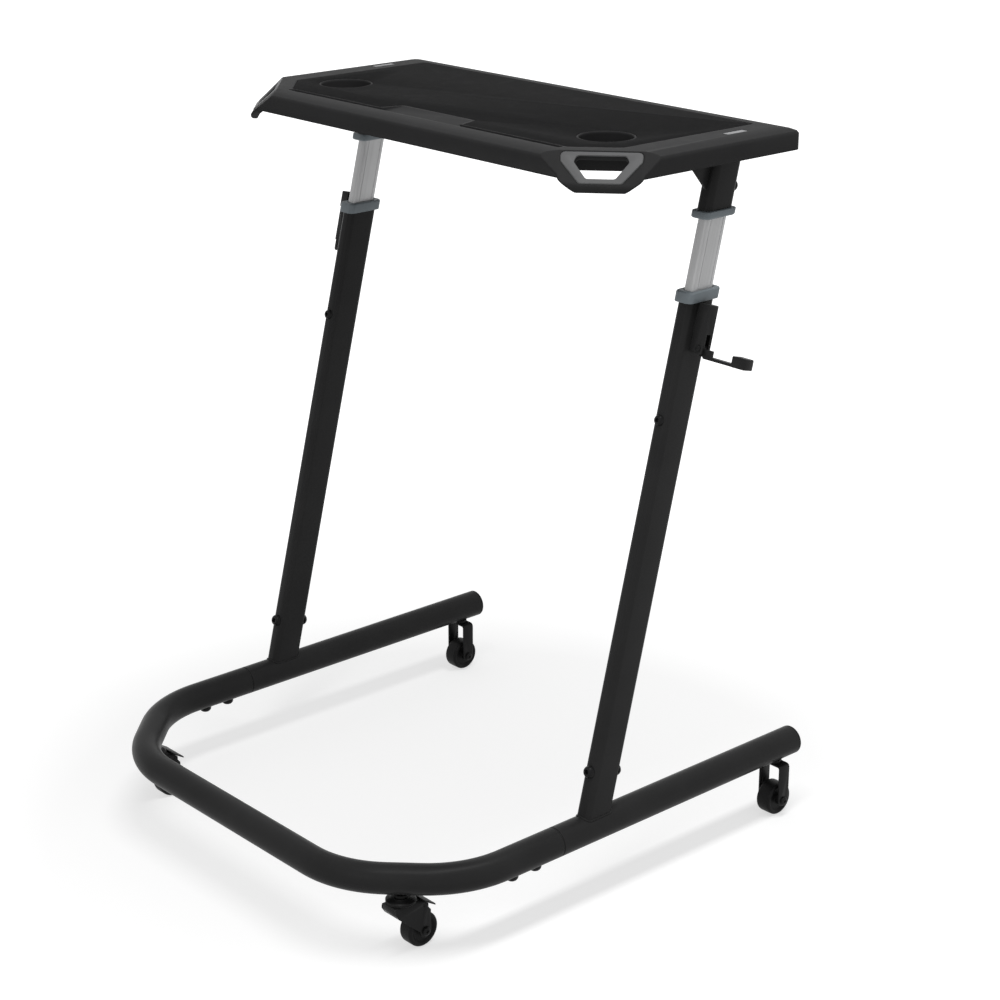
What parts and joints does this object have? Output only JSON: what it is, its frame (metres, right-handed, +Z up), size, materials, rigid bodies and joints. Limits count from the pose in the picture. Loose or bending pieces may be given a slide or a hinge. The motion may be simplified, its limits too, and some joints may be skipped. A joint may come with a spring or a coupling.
{
  "type": "bike trainer desk",
  "caption": "Height-adjustable desk on a rolling U-shaped base, for use over a bicycle on a trainer, with corner handles, cup wells and a tablet slot.",
  "frame": {"origin": "on the floor, under the centre of the box round the desk at rest, with the right lever swung out", "axes": "+Z up, +X to the right as seen from the front bar of the base, +Y from the front bar towards the rider"},
  "size_m": [0.8754, 0.7878, 1.051],
  "materials": {
    "frame": "black satin powder coat",
    "hardware": "black oxide and black enamel",
    "desk_plastic": "fine matte moulded texture",
    "black_plastic": "matte moulded",
    "mat": "fine textured, matte",
    "bezel": "satin grey",
    "collar": "matte blue-grey",
    "silver": "satin extruded",
    "wheel": "hard black tread"
  },
  "bodies": {
    "frame": {"front_rail": "frame", "foot_tube_right": "frame", "foot_cap_right": "black_plastic", "rail_bolt_front_right": "hardware", "rail_bolt_rear_right": "hardware", "post_tube_right": "frame", "post_bolt_right": "hardware", "post_collar_right": "collar", "stop_screw_right": "hardware", "lock_housing_right": "frame", "lever_pin_right": "hardware", "caster_stem_right": "hardware", "rear_fork_right": "hardware", "rear_axle_right": "hardware", "foot_tube_left": "frame", "foot_cap_left": "black_plastic", "rail_bolt_front_left": "hardware", "rail_bolt_rear_left": "hardware", "post_tube_left": "frame", "post_bolt_left": "hardware", "post_collar_left": "collar", "stop_screw_left": "hardware", "lock_housing_left": "frame", "lever_pin_left": "hardware", "caster_stem_left": "hardware", "rear_fork_left": "hardware", "rear_axle_left": "hardware"},
    "desk": {"desktop": "desk_plastic", "desk_mat": "mat", "handle_bezel_right": "bezel", "cup_liner_right": "desk_plastic", "socket_bracket_right": "frame", "socket_collar_right": "collar", "inner_tube_right": "silver", "inner_glide_right": "black_plastic", "socket_bolt_right": "hardware", "handle_bezel_left": "bezel", "cup_liner_left": "desk_plastic", "socket_bracket_left": "frame", "socket_collar_left": "collar", "inner_tube_left": "silver", "inner_glide_left": "black_plastic", "socket_bolt_left": "hardware"},
    "lever_right": {"lock_lever_right": "black_plastic"},
    "shoe_right": {"clamp_shoe_right": "hardware"},
    "caster_right": {"front_fork_right": "hardware", "front_axle_right": "hardware"},
    "pedal_right": {"brake_pedal_right": "black_plastic"},
    "wheel_front_right": {"front_wheel_right": "wheel"},
    "wheel_rear_right": {"rear_wheel_right": "wheel"},
    "lever_left": {"lock_lever_left": "black_plastic"},
    "shoe_left": {"clamp_shoe_left": "hardware"},
    "caster_left": {"front_fork_left": "hardware", "front_axle_left": "hardware"},
    "pedal_left": {"brake_pedal_left": "black_plastic"},
    "wheel_front_left": {"front_wheel_left": "wheel"},
    "wheel_rear_left": {"rear_wheel_left": "wheel"}
  },
  "joints": [
    {"name": "height_slide", "type": "slide", "parent": "frame", "child": "desk", "axis": [0, 0.2419, 0.9703], "range_m": [-0.09, 0.17]},
    {"name": "lever_right_fold", "type": "hinge", "parent": "frame", "child": "lever_right", "pos_m": [0.35223, 0.14274, 0.77376], "axis": [0, -0.9703, 0.2419], "range_deg": [0, 90]},
    {"name": "shoe_right_press", "type": "slide", "parent": "frame", "child": "shoe_right", "axis": [-1, 0, 0], "range_m": [0, 0.001]},
    {"name": "caster_right_swivel", "type": "hinge", "parent": "frame", "child": "caster_right", "pos_m": [0.26129, -0.31386, 0.076], "axis": [0, 0, 1], "continuous": true},
    {"name": "wheel_front_right_spin", "type": "hinge", "parent": "caster_right", "child": "wheel_front_right", "pos_m": [0.26129, -0.28386, 0.025], "axis": [1, 0, 0], "continuous": true},
    {"name": "pedal_right_tilt", "type": "hinge", "parent": "caster_right", "child": "pedal_right", "pos_m": [0.26129, -0.28686, 0.065], "axis": [-1, 0, 0], "range_deg": [0, 7]},
    {"name": "wheel_rear_right_spin", "type": "hinge", "parent": "frame", "child": "wheel_rear_right", "pos_m": [0.32473, 0.35962, 0.025], "axis": [1, 0, 0], "continuous": true},
    {"name": "lever_left_fold", "type": "hinge", "parent": "frame", "child": "lever_left", "pos_m": [-0.42277, 0.14274, 0.77376], "axis": [0, -0.9703, 0.2419], "range_deg": [0, 90]},
    {"name": "shoe_left_press", "type": "slide", "parent": "frame", "child": "shoe_left", "axis": [-1, 0, 0], "range_m": [0, 0.001]},
    {"name": "caster_left_swivel", "type": "hinge", "parent": "frame", "child": "caster_left", "pos_m": [-0.33183, -0.31386, 0.076], "axis": [0, 0, 1], "continuous": true},
    {"name": "wheel_front_left_spin", "type": "hinge", "parent": "caster_left", "child": "wheel_front_left", "pos_m": [-0.33183, -0.28386, 0.025], "axis": [1, 0, 0], "continuous": true},
    {"name": "pedal_left_tilt", "type": "hinge", "parent": "caster_left", "child": "pedal_left", "pos_m": [-0.33183, -0.28686, 0.065], "axis": [-1, 0, 0], "range_deg": [0, 7]},
    {"name": "wheel_rear_left_spin", "type": "hinge", "parent": "frame", "child": "wheel_rear_left", "pos_m": [-0.39527, 0.35962, 0.025], "axis": [1, 0, 0], "continuous": true}
  ],
  "couplings": [
    {"joint": "shoe_right_press", "follows": "lever_right_fold", "m_per_rad": 0.00063662},
    {"joint": "shoe_left_press", "follows": "lever_left_fold", "m_per_rad": 0.00063662}
  ]
}
